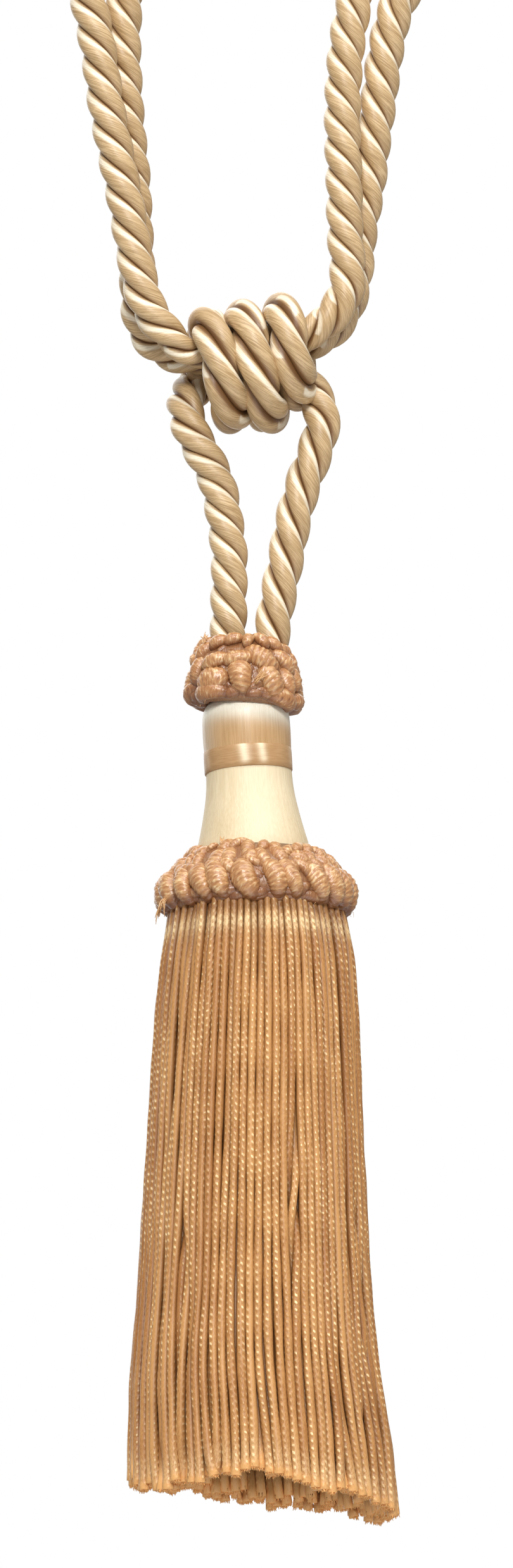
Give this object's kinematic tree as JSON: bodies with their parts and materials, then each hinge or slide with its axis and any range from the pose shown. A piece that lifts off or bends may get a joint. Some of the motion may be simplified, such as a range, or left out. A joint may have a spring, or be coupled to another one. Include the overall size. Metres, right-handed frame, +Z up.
{
  "type": "curtain tieback tassel",
  "caption": "Rope curtain tieback with a wrapped knot and a key tassel: satin covered head between two coiled gimp ruffs, over a full skirt of knitted fringe cords.",
  "frame": {"origin": "midway between the two rope eyes, level with the underside of their tops, where a hook bears", "axes": "+Z up as it hangs, -Y towards the viewer, +X to the viewer's right"},
  "size_m": [0.1341, 0.0704, 0.4717],
  "materials": {
    "rope": "three-ply rope of lustrous gold viscose floss",
    "gimp": "wound gimp cord in peach gold floss",
    "cap_satin": "tan gold satin thread wound over a mould",
    "neck_satin": "cream satin thread laid over a mould",
    "ribbon": "flat gold satin ribbon",
    "fringe": "knitted chainette cords in peach gold viscose"
  },
  "bodies": {
    "root": {"left_loop": "rope", "right_loop": "rope", "knot_wraps": "rope", "left_leg": "rope", "right_leg": "rope", "upper_ruff": "gimp", "head_cap": "cap_satin", "head_band": "ribbon", "head_neck": "neck_satin", "lower_ruff": "gimp", "fringe_skirt": "fringe"}
  },
  "joints": []
}
